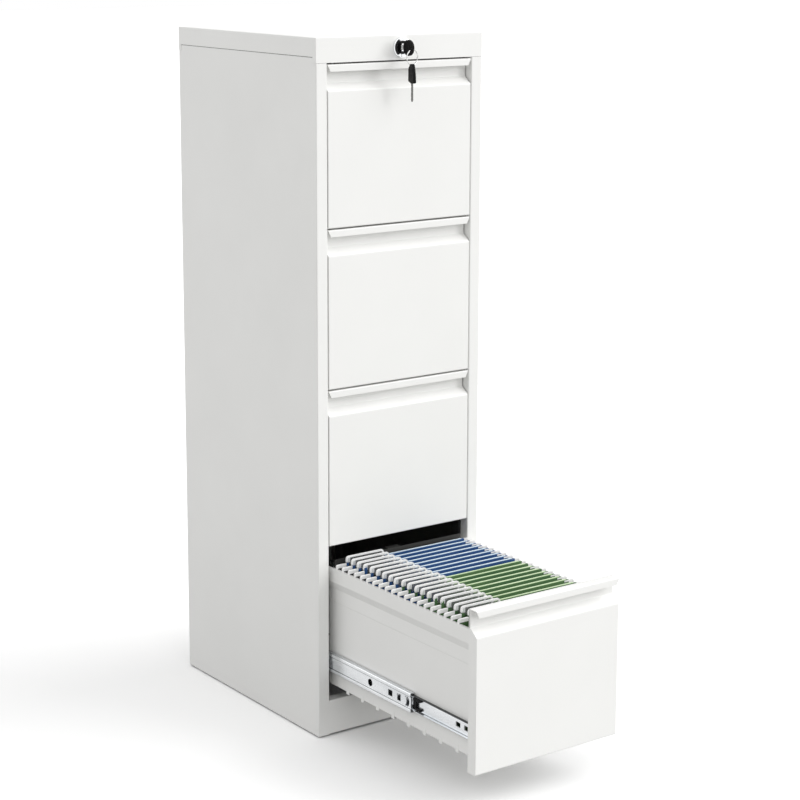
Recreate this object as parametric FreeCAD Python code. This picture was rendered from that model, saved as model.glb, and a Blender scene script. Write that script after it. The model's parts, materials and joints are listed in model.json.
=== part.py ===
import FreeCAD, Part
import math
import os
from FreeCAD import Vector

# A four-drawer steel filing cabinet with its lowest drawer pulled out.
# Millimetres. X runs to the right, Y from the front to the back, Z up from the floor.
# Every piece is drawn with the closed drawer fronts on y = 0, then moved to the part's own origin.

# Case
WIDTH = 380.0
DEPTH = 490.0
HEIGHT = 1330.0
SHEET = 0.9
BEND = 1.2
CAP_HEIGHT = 46.0
SKIRT_HEIGHT = 35.0
SKIRT_CORNER = 10.0
CAP_ROUND = 1.5
CAP_RETURN = 18.0
STILE = 25.0
STILE_RETURN = 22.0
REAR_FLANGE = 18.0
PLINTH = 68.0
PLINTH_RETURN = 22.0
FOOT_FLANGE = 40.0
REAR_RAIL = 40.0
GLIDE_HEIGHT = 3.0
GLIDE_WIDTH = 24.0
GLIDE_STEM = 8.0
GLIDE_STEM_LENGTH = 7.0
GLIDE_INSET = 20.0
GLIDE_SETBACK = 22.0
SEAM = 0.4
RIB_PLACE = 95.0
RIB_WIDTH = 20.0
RIB_DEPTH = 4.0
RIB_SLANT = 45.0
RIB_END = 80.0
BACK_RIVET = 8.0
BACK_RIVET_PITCH = 250.0

# Drawers
DRAWERS = 4
OPEN_DRAWER = 4
FRONT_GAP = 3.0
BOTTOM_GAP = 4.0
SIDE_GAP = 2.0
FRONT_DEPTH = 22.0
EDGE_ROUND = 1.0
LIP_HEIGHT = 13.0
LIP_CHAMFER = 6.0
RECESS_DEPTH = 18.0
RECESS_HEIGHT = 34.0
SLOPE_DROP = 14.0
SOFT_BEND = 3.0
LINER_LIFT = 4.0
LINER_FLANGE = 11.0
LINER_INSET = 0.6
REAR_ROOM = 35.3
TRAY_LIFT = 24.0
TRAY_HEIGHT = 236.0
TRAY_TAIL = 17.0
SHOULDER_HEIGHT = 27.0
SHOULDER_SLOPE = 15.0
SHOULDER_WIDTH = 6.0
CREASE_DROP = 26.0
CREASE_STEP = 0.8
RAIL_INSET = 4.0
RAIL_HEIGHT = 18.0
TAB_COUNT = 8
TAB_START = 40.0
TAB_PITCH = 48.6
TAB_WIDTH = 9.0
TAB_DROP = 5.0
BACK_HEIGHT = 249.0
BACK_FLANGE = 12.0
CATCH_WIDTH = 30.0
CATCH_REACH = 14.0
CATCH_LIP = 10.0

# Ball-bearing slides
SLIDE_HEIGHT = 45.0
SLIDE_WIDTH = 12.7
SLIDE_GAUGE = 1.2
SLIDE_EXTRA = 20.0
SLIDE_LIFT = 72.0
SLIDE_INSET = 1.0
SLIDE_SETBACK = 2.0
OUTER_LIP = 3.2
OUTER_REACH = 11.0
MID_SHARE = 0.6311
MID_WEB_GAP = 0.8
MID_REACH = 10.9
MID_SHOULDER = 6.5
MID_JOG = 1.4
MID_SETBACK = 2.0
INNER_SHORTER = 2.0
INNER_REACH = 6.5
BALL = 2.4
BALL_PLAY = 0.15
BALLS = 8
CAGE_WIDTH = 6.0
CAGE_THICKNESS = 0.8
CAGE_LENGTH = 140.0
CAGE_SETBACK = 1.1
HOLE_PLAY = 0.2
ROUND_HOLE = 14.0
ROUND_HOLE_PLACE = 128.0
LONG_HOLE = 13.0
LONG_HOLE_HEIGHT = 11.5
LONG_HOLE_PLACE = 64.0
SMALL_HOLE = 10.5
SMALL_HOLE_HEIGHT = 13.0
SMALL_HOLE_PLACE = 37.0
CRESCENT_RADIUS = 12.0
CRESCENT_SHIFT = 9.0
CRESCENT_PLACE = 5.0
INNER_HOLE = 13.0
INNER_HOLE_HEIGHT = 9.0
INNER_HOLE_PLACES = (10.0, 34.0)
LEVER_LENGTH = 22.0
LEVER_HEIGHT = 22.0
LEVER_BODY = 9.0
LEVER_WING = 4.5
LEVER_THICKNESS = 4.0
LEVER_GAP = 1.0
BUFFER_LENGTH = 14.0
BUFFER_HEIGHT = 16.0
BUFFER_THICKNESS = 7.0
BUFFER_PLAY = 0.4
RIVET_HEAD = 6.0
RIVET_THICKNESS = 0.9
UPRIGHT_WIDTH = 26.0
UPRIGHT_FRONT = 26.0
UPRIGHT_END_GAP = 8.9
UPRIGHT_FOOT = 42.0

# Lock
LOCK_BEZEL = 38.5
LOCK_BEZEL_DEPTH = 5.0
LOCK_BEZEL_ROUND = 1.5
LOCK_FACE = 25.0
LOCK_FACE_RECESS = 2.0
LOCK_FACE_PLAY = 0.15
LOCK_BARREL = 19.0
LOCK_BARREL_LENGTH = 24.0
LOCK_HOLE_PLAY = 0.2
LOCK_NUT = 26.0
LOCK_NUT_HEIGHT = 4.0
PLUG = 14.0
PLUG_PLAY = 0.1
PLUG_TAIL = 3.0
KEYWAY_PLAY = 0.3
KEYWAY_DEPTH = 24.0
SPINDLE = 7.0
SPINDLE_PLAY = 0.3
BRACKET_GAP = 10.0
BRACKET_WIDTH = 40.0
BRACKET_THICKNESS = 2.0
BRACKET_FLANGE = 20.0
BRACKET_DROP = 14.0
CRANK_RADIUS = 11.3
CRANK_THICKNESS = 4.0
CRANK_GAP = 11.8
CRANK_HUB = 16.0
CRANK_BOSS = 12.0
CRANK_PIN = 5.0
LOCK_TURN = 90.0
PIN_PLAY = 0.5
BAR_WIDTH = 30.0
BAR_THICKNESS = 3.0
BAR_GAP = 4.0
BAR_BOTTOM = 45.0
FINGER_WIDTH = 14.0
FINGER_REACH = 13.0
FINGER_PLAY = 1.0
GUIDE_HEIGHT = 20.0
GUIDE_WALL = 5.0
GUIDE_PLAY = 0.3
GUIDES = 3

# Key
KEY_THICKNESS = 2.2
KEY_HEIGHT = 8.0
KEY_DEPTH = 20.0
KEY_CUT = 1.6
KEY_CUTS = 5
BOW = 29.5
BOW_THICKNESS = 5.0
BOW_GAP = 4.0
BOW_HOLE = 5.0
BOW_HOLE_INSET = 6.0
BOW_ROUND = 0.8

# Hanging folders in the open drawer
FOLDERS = 20
BLUE_FOLDERS = 9
FOLDER_REAR_GAP = 17.0
FOLDER_FRONT_GAP = 36.6
FOLDER_SIDE_GAP = 5.4
FOLDER_THICKNESS = 2.4
FOLDER_ROUND = 12.0
FOLDER_TOP = 9.0
FOLDER_CLEAR = 8.0
ROD_HEIGHT = 3.0
ROD_THICKNESS = 1.6
ROD_LIFT = 4.5
HOOK_WIDTH = 2.0
HOOK_DROP = 8.0
HOOK_PLAY = 0.5
TAG_WIDTH = 88.0
TAG_HEIGHT = 12.5
TAG_THICKNESS = 1.4
TAG_INSET = 5.0
TAG_ROUND = 5.0

# Places that follow from the sizes above
SIDE_FACE = WIDTH / 2 - SHEET
STILE_EDGE = WIDTH / 2 - STILE
FASCIA_BOTTOM = HEIGHT - CAP_HEIGHT
PLINTH_TOP = GLIDE_HEIGHT + PLINTH
BACK_FACE = DEPTH - SHEET
FRONT_HEIGHT = (FASCIA_BOTTOM - PLINTH_TOP - DRAWERS * FRONT_GAP - BOTTOM_GAP) / DRAWERS
DRAWER_PITCH = FRONT_HEIGHT + FRONT_GAP
FRONT_HALF = STILE_EDGE - SIDE_GAP
TRAY_FRONT = FRONT_DEPTH + SHEET
TRAY_LENGTH = DEPTH - 2 * SHEET - TRAY_FRONT - REAR_ROOM
TRAY_END = TRAY_FRONT + TRAY_LENGTH
SLIDE_LENGTH = TRAY_LENGTH + SLIDE_EXTRA
MID_LENGTH = TRAY_LENGTH
INNER_LENGTH = TRAY_LENGTH - INNER_SHORTER
TRAVEL = SLIDE_LENGTH
SLIDE_FACE = STILE_EDGE - SLIDE_INSET
TRAY_SIDE = SLIDE_FACE - SLIDE_WIDTH
TRAY_TOP = TRAY_LIFT + TRAY_HEIGHT
SHOULDER_FACE = TRAY_SIDE + CREASE_STEP + SHOULDER_WIDTH
RAIL_FACE = SHOULDER_FACE - SHEET - RAIL_INSET
OUTER_START = TRAY_FRONT + SLIDE_SETBACK
MID_START = OUTER_START + MID_SETBACK
CAGE_START = OUTER_START + TRAVEL * MID_SHARE / 2 + CAGE_SETBACK
LEVER_START = MID_START + TRAVEL * (1 - MID_SHARE) - LEVER_LENGTH - LEVER_GAP
UPRIGHT_REAR = OUTER_START + SLIDE_LENGTH - UPRIGHT_WIDTH - UPRIGHT_END_GAP
OUTER_HALF = SLIDE_HEIGHT / 2
RACE = BALL + 2 * BALL_PLAY
MID_HALF = OUTER_HALF - SLIDE_GAUGE - RACE
INNER_HALF = MID_HALF - SLIDE_GAUGE - RACE
MID_FACE = SLIDE_GAUGE + MID_WEB_GAP
LOCK_HEIGHT = HEIGHT - CAP_HEIGHT / 2
CATCH_END = TRAY_END + SHEET + CATCH_REACH
BAR_FACE = CATCH_END + BAR_GAP
SPINDLE_END = BAR_FACE - CRANK_GAP - CRANK_THICKNESS
BRACKET_PLACE = SPINDLE_END - BRACKET_GAP
BAR_LIFT = 2 * CRANK_RADIUS * math.sin(math.radians(LOCK_TURN / 2))
FOLDER_WIDTH = 2 * (TRAY_SIDE - SHEET - FOLDER_SIDE_GAP)
FOLDER_PITCH = (TRAY_LENGTH - FOLDER_REAR_GAP - FOLDER_FRONT_GAP) / (FOLDERS - 1)
FOLDER_BASE = TRAY_LIFT + SHEET + FOLDER_CLEAR
FOLDER_CREST = TRAY_TOP + FOLDER_TOP
HOOK_END = SHOULDER_FACE - SHEET - HOOK_PLAY
ORIGIN_DEPTH = (DEPTH - TRAVEL) / 2


def front_base(number):
    """Height of the lower edge of a drawer's front, counted from the top drawer."""
    return PLINTH_TOP + BOTTOM_GAP + (DRAWERS - number) * DRAWER_PITCH


def box(x, y, z):
    """A block between two values along each axis."""
    corner = Vector(min(x), min(y), min(z))
    return Part.makeBox(abs(x[1] - x[0]), abs(y[1] - y[0]), abs(z[1] - z[0]), corner)


def rod(diameter, start, end):
    """A round bar between two points."""
    along = end - start
    return Part.makeCylinder(diameter / 2, along.Length, start, along)


def join(shapes):
    """Several touching shapes as one solid."""
    whole = shapes[0].multiFuse(shapes[1:]) if len(shapes) > 1 else shapes[0]
    return whole.removeSplitter()


def group(shapes):
    """Several separate solids in one piece file."""
    return Part.makeCompound(shapes)


def mirrored(shape):
    """The same shape on the other side of the cabinet."""
    return shape.mirror(Vector(0, 0, 0), Vector(1, 0, 0))


def left_of(direction):
    return Vector(-direction.y, direction.x, 0)


def offset_line(points, distance):
    """A bent line moved to its left, corner for corner."""
    moved = []
    last = len(points) - 1
    for i, point in enumerate(points):
        before = (point - points[max(i - 1, 0)]) if i else points[1] - points[0]
        after = (points[min(i + 1, last)] - point) if i < last else point - points[last - 1]
        first = left_of(before.normalize())
        second = left_of(after.normalize())
        moved.append(point + (first + second) * (distance / (1 + first.dot(second))))
    return moved


def rounded_corner(before, point, after, radius):
    """Start, middle and end of the arc that rounds a corner."""
    into = (point - before).normalize()
    away = (after - point).normalize()
    turn = into.getAngle(away)
    reach = radius * math.tan(turn / 2)
    bisector = (away - into).normalize()
    middle = point + bisector * (radius / math.cos(turn / 2) - radius)
    return point - into * reach, middle, point + away * reach


def rounded_path(points, radii):
    """Straight runs joined by arcs; one radius for each corner between the ends."""
    edges = []
    start = points[0]
    for i in range(1, len(points) - 1):
        first, middle, end = rounded_corner(points[i - 1], points[i], points[i + 1], radii[i - 1])
        edges.append(Part.LineSegment(start, first).toShape())
        edges.append(Part.Arc(first, middle, end).toShape())
        start = end
    edges.append(Part.LineSegment(start, points[-1]).toShape())
    return edges


def rounded_face(outline, radii):
    """A filled outline; a radius of zero keeps its corner sharp."""
    points = [Vector(u, v, 0) for u, v in outline]
    count = len(points)
    corners = []
    for i, point in enumerate(points):
        if radii[i] > 0:
            corners.append(rounded_corner(points[i - 1], point, points[(i + 1) % count], radii[i]))
        else:
            corners.append((point, None, point))
    edges = []
    for i, (first, middle, end) in enumerate(corners):
        if middle:
            edges.append(Part.Arc(first, middle, end).toShape())
        edges.append(Part.LineSegment(end, corners[(i + 1) % count][0]).toShape())
    return Part.Face(Part.Wire(edges))


def sheet_face(outline, thickness, bends):
    """The section of a bent sheet; the metal lies to the left of the outline."""
    points = [Vector(u, v, 0) for u, v in outline]
    other = offset_line(points, thickness)
    near = []
    far = []
    for i in range(1, len(points) - 1):
        turn = (points[i] - points[i - 1]).cross(points[i + 1] - points[i]).z
        bend = bends[i - 1]
        near.append(bend + thickness if turn > 0 else bend)
        far.append(bend if turn > 0 else bend + thickness)
    edges = rounded_path(points, near)
    edges.append(Part.LineSegment(points[-1], other[-1]).toShape())
    edges.extend(reversed(rounded_path(other, far)))
    edges.append(Part.LineSegment(other[0], points[0]).toShape())
    return Part.Face(Part.Wire(Part.__sortEdges__(edges)))


def along_z(face, low, high):
    """A section drawn in X and Y, drawn out upwards."""
    solid = face.extrude(Vector(0, 0, high - low))
    solid.translate(Vector(0, 0, low))
    return solid


def along_x(face, low, high):
    """A section drawn in Y and Z, drawn out to the right."""
    solid = face.extrude(Vector(0, 0, high - low))
    solid.Placement = FreeCAD.Placement(Vector(low, 0, 0), FreeCAD.Rotation(Vector(1, 1, 1), 120))
    return solid


def along_y(face, low, high):
    """A section drawn in X and Z, drawn out backwards."""
    solid = face.extrude(Vector(0, 0, high - low))
    solid.Placement = FreeCAD.Placement(Vector(0, high, 0), FreeCAD.Rotation(Vector(1, 0, 0), 90))
    return solid


def sheet(outline, direction, low, high, thickness=SHEET, bends=None):
    """A bent sheet drawn out along one axis."""
    face = sheet_face(outline, thickness, bends or [BEND] * (len(outline) - 2))
    return direction(face, low, high)


def lid(x, y, z, radius):
    """A block with its top edges and its upright edges rounded."""
    block = box(x, y, z)
    rounded = [edge for edge in block.Edges if max(vertex.Z for vertex in edge.Vertexes) > z[0]]
    return block.makeFillet(radius, rounded)


def side_panel():
    """Right side with its stile, the stile's return above the plinth and the rear flange."""
    rear = DEPTH - 2 * SHEET
    full = [
        (STILE_EDGE, STILE_RETURN),
        (STILE_EDGE, 0),
        (SIDE_FACE, 0),
        (SIDE_FACE, rear),
        (SIDE_FACE - REAR_FLANGE, rear),
    ]
    top = [(SIDE_FACE, SHEET + SEAM), (SIDE_FACE, rear), (SIDE_FACE - REAR_FLANGE, rear)]
    kick = sheet(full[1:], along_z, GLIDE_HEIGHT, PLINTH_TOP)
    lower = sheet(full, along_z, PLINTH_TOP, FASCIA_BOTTOM - SEAM)
    upper = sheet(top, along_z, FASCIA_BOTTOM - SEAM, HEIGHT - SHEET)
    return join([kick, lower, upper])


def rib(centre, face, grow):
    """A long shallow block with slanted walls, from one face of the back panel inwards."""
    wide = RIB_WIDTH / 2 + grow
    narrow = wide - RIB_DEPTH
    low = GLIDE_HEIGHT + RIB_END - grow
    high = HEIGHT - RIB_END + grow
    return Part.makeWedge(
        centre - narrow,
        face - RIB_DEPTH,
        low + RIB_DEPTH,
        low,
        centre - wide,
        centre + narrow,
        face,
        high - RIB_DEPTH,
        high,
        centre + wide,
    )


def back_panel():
    """Rear sheet with two upright stiffening ribs pressed into it."""
    edge = SIDE_FACE - SEAM
    panel = box((-edge, edge), (BACK_FACE - SHEET, BACK_FACE), (GLIDE_HEIGHT, HEIGHT - SHEET - SEAM))
    grow = SHEET * math.tan(math.radians(RIB_SLANT / 2))
    bulges = [rib(centre, BACK_FACE - SHEET, grow) for centre in (RIB_PLACE, -RIB_PLACE)]
    hollows = [rib(centre, BACK_FACE, 0) for centre in (RIB_PLACE, -RIB_PLACE)]
    return join([panel] + bulges).cut(hollows)


def top_cap():
    """Tray-shaped top whose front is the fascia that holds the lock."""
    half = WIDTH / 2
    inner = half - SHEET
    shell = lid((-half, half), (0, DEPTH), (FASCIA_BOTTOM, HEIGHT), CAP_ROUND)
    inside = box((-inner, inner), (SHEET, BACK_FACE), (FASCIA_BOTTOM, HEIGHT - SHEET))
    notch = box(
        (-half, half),
        (SKIRT_CORNER, DEPTH - SKIRT_CORNER),
        (FASCIA_BOTTOM, HEIGHT - SKIRT_HEIGHT),
    )
    shell = shell.cut([inside, notch])
    edge = inner - SHEET - SEAM
    flange = box((-edge, edge), (SHEET / 2, CAP_RETURN), (FASCIA_BOTTOM, FASCIA_BOTTOM + SHEET))
    hole = rod(
        LOCK_BARREL + 2 * LOCK_HOLE_PLAY,
        Vector(0, -SHEET, LOCK_HEIGHT),
        Vector(0, 2 * SHEET, LOCK_HEIGHT),
    )
    return join([shell, flange]).cut(hole)


def plinth_rail():
    """Kick plate between the stiles, with a shelf flange and a foot flange."""
    outline = [
        (PLINTH_RETURN, PLINTH_TOP),
        (0, PLINTH_TOP),
        (0, GLIDE_HEIGHT),
        (FOOT_FLANGE, GLIDE_HEIGHT),
    ]
    rail = sheet(outline, along_x, -STILE_EDGE, STILE_EDGE)
    return rail.cut(group(glide_stems(SHEET)))


def rear_base_rail():
    """Channel that ties the sides together at the back of the base."""
    rear = DEPTH - 2 * SHEET
    outline = [
        (rear - FOOT_FLANGE, GLIDE_HEIGHT),
        (rear, GLIDE_HEIGHT),
        (rear, GLIDE_HEIGHT + REAR_RAIL),
        (rear - PLINTH_RETURN, GLIDE_HEIGHT + REAR_RAIL),
    ]
    edge = SIDE_FACE - REAR_FLANGE - SEAM
    rail = sheet(outline, along_x, -edge, edge)
    return rail.cut(group(glide_stems(SHEET)))


def glide_centres():
    """The four places of the glides under the base."""
    across = STILE_EDGE - GLIDE_INSET
    places = []
    for y in (GLIDE_SETBACK, DEPTH - 2 * SHEET - GLIDE_SETBACK):
        for x in (-across, across):
            places.append(Vector(x, y, 0))
    return places


def glide_stems(play):
    """Round stems of the glides, a little wider where they cut their holes."""
    up = Vector(0, 0, GLIDE_STEM_LENGTH)
    return [rod(GLIDE_STEM + play, centre, centre + up) for centre in glide_centres()]


def foot_glides():
    """Four plastic glides pressed into the foot flanges."""
    glides = []
    for centre, stem in zip(glide_centres(), glide_stems(0)):
        pad = rod(GLIDE_WIDTH, centre, centre + Vector(0, 0, GLIDE_HEIGHT))
        rim = [edge for edge in pad.Edges if edge.Vertexes[0].Z < SEAM and edge.Closed]
        glides.append(join([pad.makeChamfer(SEAM, rim), stem]))
    return group(glides)


def slide_uprights():
    """Channels that carry the slides, two on each side."""
    channels = []
    outer = SIDE_FACE - SHEET
    for start in (UPRIGHT_FRONT, UPRIGHT_REAR):
        end = start + UPRIGHT_WIDTH
        outline = [(outer, end), (SLIDE_FACE, end), (SLIDE_FACE, start), (outer, start)]
        channel = sheet(outline, along_z, UPRIGHT_FOOT, FASCIA_BOTTOM - CAP_RETURN)
        channels.extend([channel, mirrored(channel)])
    return group(channels)


def case_rivets():
    """Low rivets that hold the back panel to the rear flanges and the slides to their uprights."""
    heads = []
    across = SIDE_FACE - REAR_FLANGE / 2
    rows = int((FASCIA_BOTTOM - PLINTH_TOP) // BACK_RIVET_PITCH) + 1
    for row in range(rows):
        height = PLINTH_TOP + row * BACK_RIVET_PITCH
        for x in (-across, across):
            foot = Vector(x, BACK_FACE, height)
            heads.append(rod(BACK_RIVET, foot, foot + Vector(0, SHEET, 0)))
    for number in range(1, DRAWERS + 1):
        height = front_base(number) + SLIDE_LIFT
        for start in (UPRIGHT_FRONT, UPRIGHT_REAR):
            foot = Vector(SLIDE_FACE - SLIDE_GAUGE, start + UPRIGHT_WIDTH / 2, height)
            head = rod(RIVET_HEAD, foot, foot - Vector(RIVET_THICKNESS, 0, 0))
            heads.extend([head, mirrored(head)])
    return group(heads)


def on_left(face, start, length, height):
    """A slide section drawn out along the left side, from the case towards the drawer."""
    member = along_y(face, start, start + length)
    member.translate(Vector(-SLIDE_FACE, 0, height))
    return member


def outer_member(height):
    """Fixed channel of a slide, with lips that hold the balls in."""
    high = OUTER_HALF
    lip = high - OUTER_LIP
    outline = [
        (OUTER_REACH, lip),
        (OUTER_REACH, high),
        (0, high),
        (0, -high),
        (OUTER_REACH, -high),
        (OUTER_REACH, -lip),
    ]
    bends = [SLIDE_GAUGE / 2] * 4
    return on_left(sheet_face(outline, SLIDE_GAUGE, bends), OUTER_START, SLIDE_LENGTH, height)


def web_cut(depth, start, length, centre, height):
    """A square-cornered opening through a slide's web."""
    near = -SLIDE_FACE + depth
    half = height / 2
    return box((near, near + MID_REACH / 2), (start, start + length), (centre - half, centre + half))


def mid_member(height):
    """Middle channel of a slide, with raised shoulders and its punched web."""
    high = MID_HALF
    web = MID_FACE + MID_JOG
    shoulder = high - MID_SHOULDER
    outline = [
        (MID_REACH, high),
        (MID_FACE, high),
        (MID_FACE, shoulder),
        (web, shoulder - MID_JOG),
        (web, -shoulder + MID_JOG),
        (MID_FACE, -shoulder),
        (MID_FACE, -high),
        (MID_REACH, -high),
    ]
    bends = [SLIDE_GAUGE / 2] * 6
    member = on_left(sheet_face(outline, SLIDE_GAUGE, bends), MID_START, MID_LENGTH, height)
    front = MID_START
    face = -SLIDE_FACE
    across = Vector(MID_REACH / 2, 0, 0)
    hole = Vector(face, front + ROUND_HOLE_PLACE, height)
    crescent = Vector(face, front + CRESCENT_PLACE + CRESCENT_RADIUS, height)
    shadow = crescent + Vector(0, CRESCENT_SHIFT, 0)
    cuts = [
        rod(ROUND_HOLE, hole, hole + across),
        web_cut(0, front + LONG_HOLE_PLACE - LONG_HOLE / 2, LONG_HOLE, height, LONG_HOLE_HEIGHT),
        web_cut(0, front + SMALL_HOLE_PLACE - SMALL_HOLE / 2, SMALL_HOLE, height, SMALL_HOLE_HEIGHT),
    ]
    moon = rod(2 * CRESCENT_RADIUS, crescent, crescent + across)
    moon = moon.cut(rod(2 * CRESCENT_RADIUS, shadow, shadow + across))
    span = shoulder - 2 * MID_JOG
    reach = front + 2 * CRESCENT_RADIUS
    window = box((face, face + MID_REACH), (front, reach), (height - span, height + span))
    cuts.append(moon.common(window))
    return member.cut(cuts)


def inner_member(height):
    """Drawer side channel of a slide."""
    high = INNER_HALF
    outline = [
        (SLIDE_WIDTH - INNER_REACH, -high),
        (SLIDE_WIDTH, -high),
        (SLIDE_WIDTH, high),
        (SLIDE_WIDTH - INNER_REACH, high),
    ]
    bends = [SLIDE_GAUGE / 2] * 2
    member = on_left(sheet_face(outline, SLIDE_GAUGE, bends), TRAY_FRONT, INNER_LENGTH, height)
    cuts = []
    for place in INNER_HOLE_PLACES:
        start = TRAY_FRONT + place
        cuts.append(web_cut(SLIDE_WIDTH - 2 * SLIDE_GAUGE, start, INNER_HOLE, height, INNER_HOLE_HEIGHT))
    return member.cut(cuts)


def ball_strip(height):
    """One strip of the outer ball cage with its balls, on the left side."""
    centre = -SLIDE_FACE + (MID_FACE + OUTER_REACH - SLIDE_GAUGE) / 2
    half = CAGE_WIDTH / 2
    thin = CAGE_THICKNESS / 2
    along = (CAGE_START, CAGE_START + CAGE_LENGTH)
    strip = box((centre - half, centre + half), along, (height - thin, height + thin))
    pitch = CAGE_LENGTH / BALLS
    places = [Vector(centre, CAGE_START + (i + 0.5) * pitch, height) for i in range(BALLS)]
    up = Vector(0, 0, CAGE_THICKNESS)
    strip = strip.cut([rod(BALL + 2 * HOLE_PLAY, place - up, place + up) for place in places])
    balls = [Part.makeSphere(BALL / 2, place) for place in places]
    return [strip] + balls


def ball_cage(height):
    """Upper and lower ball strips of both of a drawer's slides."""
    race = MID_HALF + RACE / 2
    left = ball_strip(height + race) + ball_strip(height - race)
    return group(left + [mirrored(solid) for solid in left])


def slide_buffer(height):
    """Rubber stop in the rear end of a fixed channel."""
    start = MID_START + MID_LENGTH + BUFFER_PLAY
    face = -SLIDE_FACE + SLIDE_GAUGE
    half = BUFFER_HEIGHT / 2
    along = (start, start + BUFFER_LENGTH)
    return box((face, face + BUFFER_THICKNESS), along, (height - half, height + half))


def release_lever(height):
    """Plastic lever that frees a drawer from its slide, on the inner member."""
    face = -SLIDE_FACE + SLIDE_WIDTH - SLIDE_GAUGE
    tall = LEVER_HEIGHT / 2
    wing = tall - LEVER_WING
    neck = LEVER_LENGTH - LEVER_BODY
    outline = [
        (0, -tall),
        (LEVER_LENGTH, -tall),
        (LEVER_LENGTH, tall),
        (0, tall),
        (0, wing),
        (neck, wing),
        (neck, -wing),
        (0, -wing),
    ]
    lever = along_x(rounded_face(outline, [SEAM] * 8), -LEVER_THICKNESS, 0)
    lever.translate(Vector(face, LEVER_START, height))
    return lever


def both_sides(shape):
    return group([shape, mirrored(shape)])


def drawer_front(base):
    """Outer front: one sheet bent into the lip, the finger recess, the slope, the face and the foot."""
    high = FRONT_HEIGHT
    recess = high - RECESS_HEIGHT
    slope = recess - SLOPE_DROP
    outline = [
        (SHEET, high - LIP_HEIGHT),
        (SHEET, high - SHEET),
        (RECESS_DEPTH, high - SHEET),
        (RECESS_DEPTH, recess),
        (0, slope),
        (0, 0),
        (FRONT_DEPTH, 0),
    ]
    bends = [BEND, BEND, SOFT_BEND, SOFT_BEND, BEND]
    skin = sheet(outline, along_x, -FRONT_HALF, FRONT_HALF, SHEET, bends)
    cheek = [(RECESS_DEPTH, recess), (0, slope), (0, 0), (FRONT_DEPTH, 0), (FRONT_DEPTH, recess)]
    radii = [0, SOFT_BEND + SHEET, BEND + SHEET, 0, 0]
    plate = along_x(rounded_face(cheek, radii), FRONT_HALF - SHEET, FRONT_HALF)
    front = join([skin, plate, mirrored(plate)])
    envelope = box((-FRONT_HALF, FRONT_HALF), (0, 2 * FRONT_DEPTH), (0, high))
    uprights = [e for e in envelope.Edges if e.BoundBox.YMax < SEAM and e.BoundBox.ZLength > FRONT_DEPTH]
    front = front.common(envelope.makeFillet(EDGE_ROUND, uprights))
    foot = high - LIP_HEIGHT - SEAM
    corner = [(FRONT_HALF - LIP_CHAMFER, foot), (FRONT_HALF + SEAM, foot), (FRONT_HALF + SEAM, high - SHEET)]
    cut = along_y(rounded_face(corner, [0, 0, 0]), -SHEET, RECESS_DEPTH / 2)
    front = front.cut([cut, mirrored(cut)])
    front.translate(Vector(0, 0, base))
    return front


def drawer_liner(base):
    """Inner front panel behind the outer front."""
    outline = [
        (TRAY_FRONT - LINER_FLANGE, LINER_LIFT),
        (TRAY_FRONT, LINER_LIFT),
        (TRAY_FRONT, FRONT_HEIGHT),
        (RECESS_DEPTH + SHEET + SEAM / 2, FRONT_HEIGHT),
    ]
    half = FRONT_HALF - LINER_INSET
    liner = sheet(outline, along_x, -half, half)
    throat = FRONT_HALF - SHEET - SEAM
    corner = box((throat, FRONT_HALF), (0, FRONT_DEPTH), (0, FRONT_HEIGHT - RECESS_HEIGHT))
    liner = liner.cut([corner, mirrored(corner)])
    liner.translate(Vector(0, 0, base))
    return liner


def drawer_tray(base):
    """Joggled sides that run past the back plate, the floor pan between them, and the rails for the hooks."""
    step = TRAY_SIDE + CREASE_STEP
    high = TRAY_TOP
    shoulder = high - SHOULDER_HEIGHT
    jog = shoulder - SHOULDER_SLOPE
    crease = jog - CREASE_DROP
    right = [
        (TRAY_SIDE, TRAY_LIFT),
        (TRAY_SIDE, crease - CREASE_STEP),
        (step, crease),
        (step, jog),
        (SHOULDER_FACE, shoulder),
        (SHOULDER_FACE, high),
    ]
    crisp = SHEET / 2
    side = sheet(right, along_y, TRAY_FRONT, TRAY_END + TRAY_TAIL, SHEET, [crisp] * 4)
    tab = box(
        (TRAY_SIDE - SHEET, TRAY_SIDE + SHEET / 2),
        (0, TAB_WIDTH),
        (TRAY_LIFT - TAB_DROP, TRAY_LIFT + TAB_WIDTH),
    )
    tabs = []
    for i in range(TAB_COUNT):
        tabs.append(tab.translated(Vector(0, TRAY_FRONT + TAB_START + i * TAB_PITCH, 0)))
    half = INNER_HOLE_HEIGHT / 2
    hooks = []
    for place in INNER_HOLE_PLACES:
        start = TRAY_FRONT + place
        across = (TRAY_SIDE - 2 * SHEET, TRAY_SIDE + SHEET)
        hooks.append(box(across, (start, start + INNER_HOLE), (SLIDE_LIFT - half, SLIDE_LIFT + half)))
    side = join([side] + tabs).cut(hooks)
    inner = TRAY_SIDE - SHEET
    floor = box((-inner, inner), (TRAY_FRONT, TRAY_END), (TRAY_LIFT, TRAY_LIFT + SHEET))
    foot = SHOULDER_FACE - 2 * SHEET
    rail = [
        (RAIL_FACE, high - SEAM),
        (RAIL_FACE, high - RAIL_HEIGHT),
        (foot, high - RAIL_HEIGHT),
        (foot, high - RAIL_HEIGHT - RAIL_INSET),
    ]
    strip = sheet(rail, along_y, TRAY_FRONT + SEAM, TRAY_END - SEAM, SHEET, [crisp, crisp])
    tray = group([side, mirrored(side), floor, strip, mirrored(strip)])
    tray.translate(Vector(0, 0, base))
    return tray


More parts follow.
